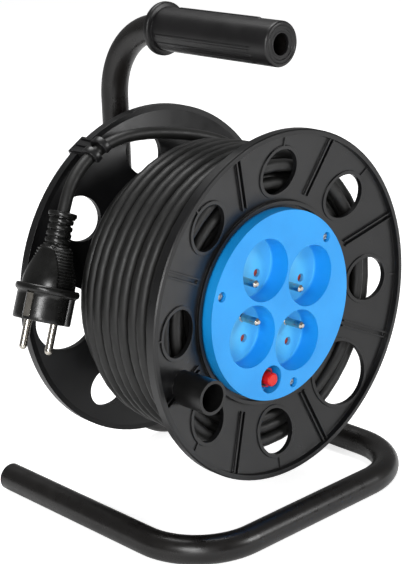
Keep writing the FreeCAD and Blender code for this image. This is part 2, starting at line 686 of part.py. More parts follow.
def socket_panel():
    """Blue cover: rim wall, four round recesses with their floors, reset well and screw wells."""
    centres = [socket_centre(*signs) for signs in SOCKETS.values()]
    reset = ring_of(["reset_angle"], "reset_radius")
    # the panel is drawn in the socket frame, so drum angles grow by the twist there
    wells = ring_of(PANEL_SCREWS, "screw_circle", "-socket_twist")
    posts = [("post_offset", "0"), ("-post_offset", "0"), ("0", "post_offset")]
    body = new_body("socket_panel")
    middle = [("0", "0")]
    pad_back(body, circles_on(body, "panel_face_y", middle, "panel_diameter / 2"), "panel_face_y - seat_y")
    hollow = circles_on(body, "seat_y", middle, "panel_diameter / 2 - panel_wall")
    cut(body, hollow, "panel_face_y - seat_y - panel_wall", towards_front=True)
    inside = "panel_face_y - panel_wall"
    for centre in centres:
        pad_back(body, circles_on(body, "panel_face_y - 1", [centre], "recess_diameter / 2 + cup_wall"),
                 "panel_face_y - 1 - cup_back_y")
    pad_back(body, circles_on(body, "panel_face_y - 1", wells, "screw_well_diameter / 2 + reset_wall"),
             "panel_face_y - 1 - seat_y")
    pad_back(body, circles_on(body, "panel_face_y - 1", reset, "reset_well_diameter / 2 + reset_wall"),
             "panel_face_y - 1 - well_back_y")
    pad_back(body, circles_on(body, inside, posts, "post_radius"), inside + " - housing_front_y")
    cut(body, circles_on(body, "panel_face_y", centres, "recess_diameter / 2"), "recess_depth")
    cut(body, circles_on(body, "panel_face_y", reset, "reset_well_diameter / 2"), "reset_well_depth")
    cut(body, circles_on(body, "panel_face_y", wells, "screw_well_diameter / 2"), "screw_well_depth")
    cut(body, circles_on(body, "panel_face_y", wells, "screw_diameter / 2 + screw_play"), "panel_face_y")
    cut(body, circles_on(body, "panel_face_y", reset, "reset_neck_diameter / 2"), "panel_face_y")
    contacts = []
    earths = []
    for sx, sz in SOCKETS.values():
        contacts.append(socket_centre(sx, sz, "contact_x", "-contact_z"))
        contacts.append(socket_centre(sx, sz, "-contact_x", "contact_z"))
        earths.append(socket_centre(sx, sz, "%d * earth_x" % -sz, "%d * earth_z" % -sz))
    cut(body, circles_on(body, "panel_face_y", contacts, "contact_hole_diameter / 2"), "panel_face_y")
    cut(body, circles_on(body, "panel_face_y", earths, "earth_shank_diameter / 2"), "panel_face_y")
    bores = circles_on(body, "housing_front_y", posts, "screw_diameter / 2 - 0.3")
    cut(body, bores, "12", towards_front=True)
    keep(body, "socket_panel", "socket")


def shutters():
    """Turning shutter behind each recess floor: two pads on a bar with a pivot hole."""
    start = "-housing_front_y - shutter_gap - shutter_thickness"
    for name, (sx, sz) in SOCKETS.items():
        parts = []
        for dx, dz in (("contact_x", "-contact_z"), ("-contact_x", "contact_z")):
            x, z = socket_centre(sx, sz, dx, dz)
            parts.append(cylinder("shutter_pad_radius", "shutter_thickness", x, start, z))
        x, z = socket_centre(sx, sz)
        bar = doc.addObject("Part::Box", "Bar")
        bar.setExpression("Length", bound("contact_spacing"))
        bar.setExpression("Width", bound("shutter_thickness"))
        bar.setExpression("Height", bound("shutter_pad_radius"))
        tilt = value("contact_tilt")
        bar.Placement.Rotation = FreeCAD.Rotation(V(0, 1, 0), tilt)
        along = "contact_spacing / 2"
        across = "shutter_pad_radius / 2"
        placed(bar, x + " - %s * cos(contact_tilt) - %s * sin(contact_tilt)" % (along, across), start,
               z + " + %s * sin(contact_tilt) - %s * cos(contact_tilt)" % (along, across))
        pivot = cylinder("shutter_pin_diameter / 2 + running_gap", "shutter_thickness", x, start, z)
        keep(without(fused(parts + [bar]), [pivot]), "shutter_" + name, "socket")


def socket_housing():
    """Insulating block behind the recesses, with contact chambers, earth pin seats and shutter pivots."""
    half = "housing_size / 2"
    body = new_body("socket_housing")
    sketch = new_sketch(body, "XZ_Plane", "housing_front_y")
    corners = []
    for sx, sz in ((1, 1), (-1, 1), (-1, -1), (1, -1)):
        near = ("%d * (housing_size / 2 - housing_corner)" % sx, "%d * housing_size / 2" % sz)
        far = ("%d * housing_size / 2" % sx, "%d * (housing_size / 2 - housing_corner)" % sz)
        corners += [far, near] if sx * sz > 0 else [near, far]
    outline(sketch, corners)
    pad_back(body, sketch, "housing_thickness")
    contacts = []
    earths = []
    for sx, sz in SOCKETS.values():
        contacts.append(socket_centre(sx, sz, "contact_x", "-contact_z"))
        contacts.append(socket_centre(sx, sz, "-contact_x", "contact_z"))
        earths.append(socket_centre(sx, sz, "%d * earth_x" % -sz, "%d * earth_z" % -sz))
    cut(body, circles_on(body, "housing_front_y", contacts, "pin_radius + 0.9"), "housing_thickness")
    cut(body, circles_on(body, "housing_front_y", earths, "earth_shank_diameter / 2"), "earth_seat_depth")
    cut(body, circles_on(body, "housing_front_y", earths, "earth_stem_diameter / 2"), "housing_thickness")
    posts = [("post_offset", "0"), ("-post_offset", "0"), ("0", "post_offset")]
    cut(body, circles_on(body, "housing_front_y", posts, "screw_diameter / 2"), "housing_thickness")
    pivots = [socket_centre(*signs) for signs in SOCKETS.values()]
    pad_back(body, circles_on(body, "housing_front_y + shutter_thickness + shutter_gap", pivots,
                              "shutter_pin_diameter / 2"), "shutter_thickness + shutter_gap + 1")
    keep(body, "socket_housing", "socket")


def housing_screws():
    parts = []
    for x, z in (("post_offset", "0"), ("-post_offset", "0"), ("0", "post_offset")):
        head = cylinder("screw_head_diameter / 2", "screw_head_height", x, "-housing_back_y", z)
        wide = cylinder("screw_diameter / 2", "housing_thickness", x, "-housing_front_y", z)
        tip = cylinder("screw_diameter / 2 - 0.3", "8", x, "-housing_front_y - 8", z)
        parts.append(fused([head, wide, tip]))
    group = doc.addObject("Part::Compound", "housing_screws")
    group.Links = parts
    keep(group, "housing_screws", "socket")


def earth_pins():
    """Stepped brass pins that stand in the recesses, one to a socket."""
    for name, (sx, sz) in SOCKETS.items():
        x, z = socket_centre(sx, sz, "%d * earth_x" % -sz, "%d * earth_z" % -sz)
        seat = "-housing_front_y + earth_seat_depth"
        tip = "-recess_floor_y - earth_pin_length"
        body = new_body("earth_pin_" + name)
        sketch = new_sketch(body, "XY_Plane")
        outline(sketch, [
            ("0", tip), ("pin_radius - 1.2", tip), ("pin_radius", tip + " + 1.2"),
            ("pin_radius", "-recess_floor_y"), ("earth_shank_diameter / 2", "-recess_floor_y"),
            ("earth_shank_diameter / 2", seat), ("earth_stem_diameter / 2", seat),
            ("earth_stem_diameter / 2", "-earth_strip_y + strip_thickness"),
            ("0", "-earth_strip_y + strip_thickness"),
        ])
        turn = body.newObject("PartDesign::Revolution", "Revolution")
        turn.Profile = sketch
        turn.ReferenceAxis = (sketch, ["V_Axis"])
        turn.Angle = 360
        body.Tip = turn
        centre = FreeCAD.Rotation(V(0, 1, 0), value("socket_twist")).multVec(point(x, "0", z))
        body.Placement = FreeCAD.Placement(centre + point("0", "drum_y", "hub_height"), FreeCAD.Rotation())
        keep(body, "earth_pin_" + name)


def contact_strips():
    """Live and neutral strips with a tulip at each contact, and the earth strip behind them."""
    left = "-socket_offset"
    right = "socket_offset"
    wide = "strip_width"
    for name, sign in (("live_strip", 1), ("neutral_strip", -1)):
        dx = "%d * contact_x" % sign
        dz = "%d * contact_z" % -sign
        low_x = left + " + " + dx + " - strip_width / 2"
        high_x = right + " + " + dx + " - strip_width / 2"
        low_z = left + " + " + dz + " - strip_width / 2"
        level = "-housing_back_y"
        tall = "socket_pitch + strip_width"
        parts = [box(wide, "strip_thickness", tall, x, level, low_z) for x in (low_x, high_x)]
        cross_z = low_z if sign > 0 else right + " + " + dz + " - strip_width / 2"
        parts.append(box("socket_pitch + strip_width", "strip_thickness", wide, low_x, level, cross_z))
        post_x = "%d * post_offset" % sign
        holes = [cylinder("screw_head_diameter / 2 + strip_screw_gap", "8", post_x, level + " - 4", "0")]
        bypass_x = "%d * (post_offset - strip_width) - strip_width / 2" % sign
        parts.append(box(wide, "strip_thickness", "2 * strip_width", bypass_x, level, "-strip_width"))
        for sx, sz in SOCKETS.values():
            x, z = socket_centre(sx, sz, dx, dz)
            parts.append(cylinder("pin_radius + 0.7", "8", x, level + " - 8", z))
            holes.append(cylinder("pin_radius + 0.05", "12", x, level + " - 9", z))
        keep(without(fused(parts), holes), name, "socket")
    bars = []
    level = "-earth_strip_y"
    for sz in (1, -1):
        start = "-socket_offset - %d * earth_x - strip_width / 2" % sz
        bars.append(box("socket_pitch + strip_width", "strip_thickness", wide, start, level,
                        "%d * (socket_offset - earth_z) - strip_width / 2" % sz))
    bars.append(box(wide, "strip_thickness", "2 * (socket_offset - earth_z)", "-strip_width / 2", level,
                    "-(socket_offset - earth_z)"))
    holes = []
    for sx, sz in SOCKETS.values():
        x, z = socket_centre(sx, sz, "%d * earth_x" % -sz, "%d * earth_z" % -sz)
        holes.append(cylinder("earth_stem_diameter / 2", "6", x, level + " - 2", z))
    keep(without(fused(bars), holes), "earth_strip", "socket")


# ---------------------------------------------------------------- reset button

def reset_parts():
    """Thermal cut-out behind the panel, its threaded neck and nut, and the button that pops out of it."""
    x, z = ring_of(["reset_angle"], "reset_radius")[0]
    body_start = "-cup_back_y + 0.5"
    body_low = z + " - cutout_height / 2"
    case = box("cutout_width", "cutout_length", "cutout_height", x + " - cutout_width / 2", body_start, body_low)
    neck = cylinder("reset_neck_diameter / 2", "well_floor_y - cup_back_y + 1 + reset_nut_length",
                    x, "-well_floor_y - reset_nut_length", z)
    bore = cylinder("reset_button_diameter / 2 + 0.3", "well_floor_y - cup_back_y + 8",
                    x, "-well_floor_y - reset_nut_length - 1", z)
    keep(without(fused([case, neck]), [bore]), "thermal_cutout", "socket")
    nut = doc.addObject("Part::Prism", "Hexagon")
    nut.Polygon = 6
    nut.Placement.Rotation = FreeCAD.Rotation(V(1, 0, 0), -90)
    nut.setExpression("Circumradius", bound("reset_nut_diameter / 2"))
    nut.setExpression("Height", bound("reset_nut_length"))
    placed(nut, x, "-well_floor_y - reset_nut_length", z)
    hole = cylinder("reset_neck_diameter / 2", "reset_nut_length + 1", x, "-well_floor_y - reset_nut_length", z)
    keep(without(nut, [hole]), "reset_nut", "socket")
    tip = "-panel_face_y - 1.8"
    stem_end = "-cup_back_y - 1 - reset_travel"
    cap = cylinder("reset_button_diameter / 2", stem_end + " + panel_face_y + 1.8", x, tip, z)
    rounded = doc.addObject("Part::Chamfer", "Chamfer")
    rounded.Base = cap
    doc.recompute()
    rim = [index + 1 for index, edge in enumerate(cap.Shape.Edges)
           if edge.Closed and abs(edge.CenterOfMass.y - value(tip)) < 0.01]
    rounded.Edges = [(index, 0.8, 0.8) for index in rim]
    keep(rounded, "reset_button", "socket")


# ---------------------------------------------------------------- winding knob

def winding_knob():
    """Open tube that turns on a headed pin in the front flange."""
    x, z = ring_of(["knob_angle"], "knob_radius_on_drum")[0]
    tip = "-knob_base_y - knob_length"
    tube = cylinder("knob_diameter / 2", "knob_length", x, tip, z)
    hollow = cylinder("knob_diameter / 2 - knob_wall", "knob_length - knob_floor", x, tip, z)
    bore = cylinder("knob_pin_diameter / 2 + running_gap", "knob_length", x, tip, z)
    keep(without(tube, [hollow, bore]), "winding_knob", "drum")
    head = cylinder("knob_pin_head / 2", "knob_head_height", x, "-knob_head_y - knob_head_height", z)
    web_back = "web_y - web_slope * (lip_radius - knob_radius_on_drum - knob_pin_diameter / 2) - web_thickness"
    shank = cylinder("knob_pin_diameter / 2", "knob_head_y - (%s)" % web_back, x, "-knob_head_y", z)
    keep(fused([head, shank]), "knob_pin", "drum")


# ---------------------------------------------------------------- supply inside the drum

def supply_parts():
    """Cord end through the barrel, its gland and nut, and the wires to the strips and the cut-out."""
    along = V(0, 0, 1)
    level = value("cord_entry_y")
    wall = value("core_radius - core_wall")
    start = V(0, level, wall - value("gland_length"))
    cord_radius = value("cord_radius")
    gland = tube_shape(value("gland_radius"), cord_radius, value("gland_length - gland_flat"), start, along)
    neck = tube_shape(value("gland_neck_radius"), cord_radius, value("core_wall + gland_flat - gland_flush"),
                      V(0, level, wall - value("gland_flat")), along)
    shape_node("cord_gland", gland.fuse(neck).removeSplitter(), "socket")
    nut_start = start - along * value("gland_nut_length")
    shape_node("gland_nut", tube_shape(value("gland_radius") + 1, cord_radius, value("gland_nut_length"),
                                       nut_start, along), "socket")
    inner_end = nut_start - along * 2
    shape_node("cord_inner_end", rod(cord_radius, value("core_radius") - inner_end.z, inner_end, along), "socket")
    radius = value("wire_radius")
    root = inner_end.z - radius
    on_strip = radius - value("strip_back_y")
    on_earth = radius + value("strip_thickness - earth_strip_y")
    on_cutout = radius + value("cutout_length - cup_back_y + 0.5")
    routes = {
        "live_wire": [V(2, level, root), V(8, -22, 40), V(19, -10, 24), V(24, -8, 2), V(21, -13, -18),
                      V(11, on_cutout, -36), V(7, on_cutout, -50)],
        "neutral_wire": [V(-2, level, root), V(-4, on_strip, 37), V(-5, on_strip, 22)],
        "earth_wire": [V(0, level + 2.2, root), V(4, on_earth, 34), V(8, on_earth, 10)],
        "cutout_wire": [V(1, on_cutout, -50), V(-3, on_cutout, -33), V(-5, on_strip, -26),
                        V(-6, on_strip, -17)],
    }
    for name, route in routes.items():
        cord(name, route, radius, "socket")


# ---------------------------------------------------------------- cord, plug and clip

def cable_coil():
    """Outer shape of the wound cord: close to both webs, a little smaller towards the rear."""
    inner = "core_radius"
    gap = "(web_thickness + coil_gap)"
    front_low = "-(web_y - dish_depth - %s)" % gap
    front_high = "-(web_y - web_slope * (lip_radius - coil_radius + cord_radius) - %s)" % gap
    keep(revolved("cable_coil", [
        (inner, "-core_end_y + coil_gap"), ("web_inner_radius", front_low),
        ("coil_radius - cord_radius", front_high), ("coil_radius", front_high + " + cord_radius"),
        ("coil_radius", "-cord_radius"), ("coil_rear_radius + 3", "3 * cord_diameter"),
        ("coil_rear_radius", "4.4 * cord_diameter"),
        ("coil_rear_radius - cord_diameter", "5.4 * cord_diameter"),
        ("web_inner_radius + 4", "core_end_y - 0.8 * cord_diameter"),
        (inner, "core_end_y - coil_gap"),
    ]), "cable_coil", "drum")


def cable_tail():
    cord("cable_tail", [V(*spot) for spot in CORD_ROUTE], value("cord_radius"), "drum")


def plug_placement():
    """Plug frame: local Z towards the cord, local X along the line of the pins, origin at the collar."""
    axis = V(*PLUG_AXIS).normalize()
    line = (PLUG_PIN_LINE - axis * PLUG_PIN_LINE.dot(axis)).normalize()
    side = axis.cross(line)
    matrix = FreeCAD.Matrix(line.x, side.x, axis.x, 0, line.y, side.y, axis.y, 0, line.z, side.z, axis.z, 0)
    top = value("plug_collar_length / 2 + grip_body_length + boot_length")
    origin = V(*CORD_ROUTE[-1]) - axis * top + point("0", "drum_y", "hub_height")
    return FreeCAD.Placement(origin, FreeCAD.Rotation(matrix))


def plug():
    """Straight moulded plug: round face end, collar, tapered grip, ribbed boot, two pins, earth strips."""
    place = plug_placement()
    up = V(0, 0, 1)
    radius = value("plug_radius")
    half = value("plug_collar_length") / 2
    face = -half - value("plug_face_depth")
    pin_radius = value("pin_radius")
    collar = rod(value("plug_collar_radius"), 2 * half, V(0, 0, -half), up)
    collar = collar.makeFillet(half * 0.8, [edge for edge in collar.Edges if edge.Closed])
    lower = rod(radius, -half - face, V(0, 0, face), up)
    bottom = Part.Wire(Part.Ellipse(V(0, 0, half), 17, 14.5).toShape())
    middle = Part.Wire(Part.Ellipse(V(0, 0, half + value("grip_body_length") * 0.5), 14.5, 12).toShape())
    top = Part.Wire(Part.Ellipse(V(0, 0, half + value("grip_body_length")), 9.6, 8.6).toShape())
    grip = Part.makeLoft([bottom, middle, top], True)
    body = collar.fuse([lower, grip])
    groove = value("plug_face_depth") - 1
    for side in (-1, 1):
        body = body.cut(Part.makeBox(2.4, 5, groove, V(side * (radius - 0.6) - 1.2, -2.5, face)))
        body = body.cut(Part.makeBox(4.4, 1.6, groove, V(-2.2, side * (radius - 0.4) - 0.8, face)))
    pin_spots = [V(side * value("contact_spacing") / 2, 0, 0) for side in (-1, 1)]
    for spot in pin_spots:
        body = body.cut(rod(pin_radius - 0.4, 9, spot + V(0, 0, face), up))
    body = body.cut(rod(pin_radius + 0.1, 15, V(0, -value("earth_offset"), face), up))
    shape_node("plug_body", body.removeSplitter()).Placement = place
    strips = []
    for side in (-1, 1):
        strip = Part.makeBox(4.4, 0.8, groove - 2, V(-2.2, side * (radius - 0.8) - 0.4, face + 2))
        strips.append(strip.common(rod(radius, groove, V(0, 0, face), up)))
    shape_node("plug_earth_strips", Part.makeCompound(strips)).Placement = place
    for number, spot in enumerate(pin_spots, start=1):
        length = value("plug_pin_length")
        pin = rod(pin_radius, length - pin_radius, spot + V(0, 0, face - length + pin_radius), up)
        pin = pin.fuse(rod(pin_radius - 0.4, 9, spot + V(0, 0, face), up))
        ball = Part.makeSphere(pin_radius, spot + V(0, 0, face - length + pin_radius))
        shape_node("plug_pin_%d" % number, pin.fuse(ball).removeSplitter()).Placement = place
    plug_boot(place, half + value("grip_body_length"))


def plug_boot(place, start):
    """Strain relief: tapered core with four rings, the last one the widest."""
    length = value("boot_length")
    wide = value("boot_radius")
    core = Part.makeCone(wide - 1.2, wide - 2.2, length, V(0, 0, start), V(0, 0, 1))
    rings = []
    for step in range(4):
        low = start + 1.6 + step * length * 0.24
        thick = length * 0.14
        radius = wide + (2.2 if step == 3 else -0.2 * step)
        ring = rod(radius, thick, V(0, 0, low), V(0, 0, 1))
        rings.append(ring.makeFillet(thick * 0.4, [edge for edge in ring.Edges if edge.Closed]))
    shape_node("plug_boot", core.fuse(rings).removeSplitter()).Placement = place


def cable_clip():
    """Clip over the rear flange's rim with two jaws that hold the cord."""
    wall = "clip_wall"
    cord_y = "46"
    cord_level = "flange_radius - 2.6"
    rear = "rim_y"
    top = "flange_radius"
    back = cord_y + " + clip_channel / 2"
    front = cord_y + " - cord_radius - 0.3"
    high = cord_level + " + clip_channel / 2"
    low = cord_level + " - clip_channel / 2"
    body = new_body("cable_clip")
    sketch = new_sketch(body, "YZ_Plane")
    outline(sketch, [
        (rear, "lip_radius - 5"), (rear + " + " + wall, "lip_radius - 5"), (rear + " + " + wall, high + " + " + wall),
        (front, high + " + " + wall), (front, high + " - 2"), (front + " + 1.6", high + " - 2"),
        (front + " + 1.6", high), (back, high), (back, low), (front + " + 1.6", low),
        (front + " + 1.6", low + " + 2"), (front, low + " + 2"), (front, low + " - " + wall),
        (back + " + " + wall, low + " - " + wall), (back + " + " + wall, top), (rear, top),
    ])
    feature = body.newObject("PartDesign::Pad", "Pad")
    feature.Profile = sketch
    feature.SideType = "Symmetric"
    feature.setExpression("Length", bound("clip_width"))
    body.Tip = feature
    body.Placement.Rotation = FreeCAD.Rotation(V(0, 1, 0), CLIP_ANGLE)
    spots = [V(*spot) for spot in CORD_ROUTE]
    held_cord = helper_shape(swept(rounded_route(spots, cord_radii(spots)), value("cord_radius + clip_play")))
    keep(without(body, [held_cord]), "cable_clip", "drum")


# ---------------------------------------------------------------- build, check and write

def build():
    frame_tube()
    handle_grip()
    tube_end_cap()
    spindle()
    spindle_fasteners()
    front_flange()
    rear_flange()
    drum_core()
    hub_bushes()
    screws("panel_screws", PANEL_SCREWS, "-panel_face_y + screw_well_depth", "screw_length + 4", 1)
    screws("core_screws_front", CORE_SCREWS, "-seat_y", "screw_length", 1)
    screws("core_screws_rear", CORE_SCREWS, "seat_y", "screw_length", -1)
    socket_panel()
    shutters()
    socket_housing()
    housing_screws()
    earth_pins()
    contact_strips()
    reset_parts()
    winding_knob()
    supply_parts()
    cable_coil()
    cable_tail()
    plug()
    cable_clip()
    doc.recompute()


def check():
    """Stop if any object failed or any sub-part has no valid solid."""
    for obj in doc.Objects:
        if "Invalid" in obj.State or "Error" in obj.State:
            raise RuntimeError("failed: %s %s" % (obj.Label, obj.State))
    for node in nodes:
        shape = node.Shape
        if shape.isNull() or not shape.isValid() or not shape.Solids:
            raise RuntimeError("bad shape: " + node.Label)
        print("%-24s solids %d volume %.0f" % (node.Label, len(shape.Solids), shape.Volume))


def write():
    os.makedirs("parts", exist_ok=True)
    for node in nodes:
        node.Shape.exportStep("parts/%s.step" % node.Label)


build()
check()
write()
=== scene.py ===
"""Looks of an extension cord reel: bent tube stand, black drum, blue socket panel, wound cord and plug."""
import json
import math

import bpy
from mathutils import Matrix, Vector

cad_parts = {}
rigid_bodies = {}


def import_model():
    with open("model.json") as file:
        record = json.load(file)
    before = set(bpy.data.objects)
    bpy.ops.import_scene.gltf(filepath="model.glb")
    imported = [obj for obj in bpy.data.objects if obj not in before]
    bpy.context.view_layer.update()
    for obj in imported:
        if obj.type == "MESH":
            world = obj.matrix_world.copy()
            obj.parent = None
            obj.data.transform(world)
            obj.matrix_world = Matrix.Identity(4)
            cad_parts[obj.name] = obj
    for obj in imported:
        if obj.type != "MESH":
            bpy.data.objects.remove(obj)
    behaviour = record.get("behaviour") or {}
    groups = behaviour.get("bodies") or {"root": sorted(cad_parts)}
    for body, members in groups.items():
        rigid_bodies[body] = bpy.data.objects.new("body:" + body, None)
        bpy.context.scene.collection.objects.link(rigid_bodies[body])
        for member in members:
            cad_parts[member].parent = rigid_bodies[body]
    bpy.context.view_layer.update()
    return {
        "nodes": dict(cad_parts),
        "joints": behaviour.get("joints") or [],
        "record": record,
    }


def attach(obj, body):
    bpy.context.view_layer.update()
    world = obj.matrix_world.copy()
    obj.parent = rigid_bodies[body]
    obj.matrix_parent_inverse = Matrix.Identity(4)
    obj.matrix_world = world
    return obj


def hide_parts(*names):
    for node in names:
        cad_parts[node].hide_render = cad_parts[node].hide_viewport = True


# an empty stage, whatever the start-up file holds
for leftover in list(bpy.data.objects):
    bpy.data.objects.remove(leftover)
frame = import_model()

MM = 0.001
HUB = Vector(next(joint for joint in frame["joints"] if joint["name"] == "drum_spin")["pos_m"])
DRUM = "drum"

# ---------------------------------------------------------------- camera, light and floor

CAMERA_PLACE = Vector((-0.6670, -0.7077, 0.4577))
CAMERA_YAW = math.radians(43.11)
CAMERA_PITCH = math.radians(18.02)
CAMERA_ROLL = math.radians(-1.92)
SENSOR_WIDTH = 36.0
LENS = 140.7


def set_camera():
    ahead = Vector((math.sin(CAMERA_YAW) * math.cos(CAMERA_PITCH),
                    math.cos(CAMERA_YAW) * math.cos(CAMERA_PITCH), -math.sin(CAMERA_PITCH)))
    right = Vector((math.cos(CAMERA_YAW), -math.sin(CAMERA_YAW), 0))
    up = right.cross(ahead)
    rolled_right = right * math.cos(CAMERA_ROLL) + up * math.sin(CAMERA_ROLL)
    rolled_up = up * math.cos(CAMERA_ROLL) - right * math.sin(CAMERA_ROLL)
    data = bpy.data.cameras.new("camera")
    data.sensor_fit = "HORIZONTAL"
    data.sensor_width = SENSOR_WIDTH
    data.lens = LENS
    camera = bpy.data.objects.new("camera", data)
    turn = Matrix((rolled_right, rolled_up, -ahead)).transposed().to_4x4()
    camera.matrix_world = Matrix.Translation(CAMERA_PLACE) @ turn
    bpy.context.scene.collection.objects.link(camera)
    bpy.context.scene.camera = camera


def add_softbox(name, place, size, power):
    """Large square area light that faces the drum."""
    data = bpy.data.lights.new(name, "AREA")
    data.size = size
    data.energy = power
    light = bpy.data.objects.new(name, data)
    facing = (HUB - Vector(place)).to_track_quat("-Z", "Y").to_matrix().to_4x4()
    light.matrix_world = Matrix.Translation(Vector(place)) @ facing
    bpy.context.scene.collection.objects.link(light)


ROOM_LIGHT = 0.2  # how bright the white room is for the object; the backdrop itself stays white


def set_light():
    world = bpy.data.worlds.new("studio")
    world.use_nodes = True
    tree = world.node_tree
    background = tree.nodes["Background"]
    seen = add_node(tree, "ShaderNodeLightPath").outputs["Is Camera Ray"]
    strength = add_node(tree, "ShaderNodeMapRange", Value=seen, To_Min=ROOM_LIGHT, To_Max=1.0)
    tree.links.new(strength.outputs["Result"], background.inputs["Strength"])
    background.inputs["Color"].default_value = (1, 1, 1, 1)
    bpy.context.scene.world = world
    bpy.context.scene.view_settings.view_transform = "Standard"
    add_softbox("softbox_left", (-1.4, -0.9, 0.9), 0.5, 15)
    add_softbox("softbox_camera", (-1.3, -1.1, 0.35), 0.35, 5)
    add_softbox("softbox_front", (0.9, -1.6, 0.8), 0.6, 13)
    add_softbox("softbox_top", (0.2, 0.4, 1.7), 0.9, 18)


# ---------------------------------------------------------------- materials

def linear(code):
    """An sRGB hex colour as linear RGBA."""
    channels = [int(code[i:i + 2], 16) / 255 for i in (1, 3, 5)]
    return tuple(c / 12.92 if c <= 0.04045 else ((c + 0.055) / 1.055) ** 2.4 for c in channels) + (1.0,)


def add_node(tree, kind, settings=(), **links):
    """A node with its attributes and sockets set; a link's value is a number, a colour or another socket."""
    node = tree.nodes.new(kind)
    for name, value in dict(settings).items():
        setattr(node, name, value)
    for name, value in links.items():
        target = node.inputs[name.replace("_", " ")]
        if isinstance(value, bpy.types.NodeSocket):
            tree.links.new(value, target)
        else:
            target.default_value = value
    return node


def per_mm(size):
    """Texture scale that gives features of a size in millimetres."""
    return 1 / (size * MM)


def colour_between(tree, shader, patches, *stops):
    """Colour a shader between two (position, hex) stops by the strength of a texture."""
    ramp = add_node(tree, "ShaderNodeValToRGB", Fac=patches.outputs["Fac"])
    for element, (position, code) in zip(ramp.color_ramp.elements, stops):
        element.position = position
        element.color = linear(code)
    tree.links.new(ramp.outputs["Color"], shader.inputs["Base Color"])


def moulded(name, low, high, roughness, grain, depth, patch=12.0, spread=0.06, edge=0.3, metallic=0.0,
            ior=1.5, coat=0.0):
    """Finish with patchy colour between two hex values, uneven gloss, fine grain and softened edges."""
    material = bpy.data.materials.new(name)
    material.use_nodes = True
    tree = material.node_tree
    shader = tree.nodes["Principled BSDF"]
    place = add_node(tree, "ShaderNodeTexCoord").outputs["Object"]
    patches = add_node(tree, "ShaderNodeTexNoise", Vector=place, Scale=per_mm(patch), Detail=4.0)
    colour_between(tree, shader, patches, (0.35, low), (0.65, high))
    smudges = add_node(tree, "ShaderNodeTexNoise", Vector=place, Scale=per_mm(patch * 0.6), Detail=6.0)
    gloss = add_node(tree, "ShaderNodeMapRange", Value=smudges.outputs["Fac"], From_Min=0.3, From_Max=0.7,
                     To_Min=roughness - spread, To_Max=roughness + spread)
    tree.links.new(gloss.outputs["Result"], shader.inputs["Roughness"])
    soft_edge = add_node(tree, "ShaderNodeBevel", {"samples": 4}, Radius=edge * MM)
    fine = add_node(tree, "ShaderNodeTexNoise", Vector=place, Scale=per_mm(grain), Detail=2.0)
    bump = add_node(tree, "ShaderNodeBump", Height=fine.outputs["Fac"], Distance=depth * MM, Strength=0.6,
                    Normal=soft_edge.outputs["Normal"])
    tree.links.new(bump.outputs["Normal"], shader.inputs["Normal"])
    shader.inputs["Metallic"].default_value = metallic
    shader.inputs["IOR"].default_value = ior
    shader.inputs["Coat Weight"].default_value = coat
    return material


PAINTED_GLOW_DEPTHS = (-0.0545, -0.0524)  # where the panel turns pale: painted light on the recess floors, standing in for light that comes through the thin plastic


def paint_glow_inside(material, pale, start, end):
    """Blend a finish's colour to a paler one between two places along the drum's axis: painted light, not a
    colour of the plastic.
    """
    tree = material.node_tree
    shader = tree.nodes["Principled BSDF"]
    skin = shader.inputs["Base Color"].links[0].from_socket
    place = add_node(tree, "ShaderNodeTexCoord").outputs["Object"]
    depth = add_node(tree, "ShaderNodeSeparateXYZ", Vector=place).outputs["Y"]
    share = add_node(tree, "ShaderNodeMapRange", Value=depth, From_Min=start, From_Max=end)
    mix = add_node(tree, "ShaderNodeMixRGB", Fac=share.outputs["Result"], Color1=skin, Color2=linear(pale))
    tree.links.new(mix.outputs["Color"], shader.inputs["Base Color"])
    return material


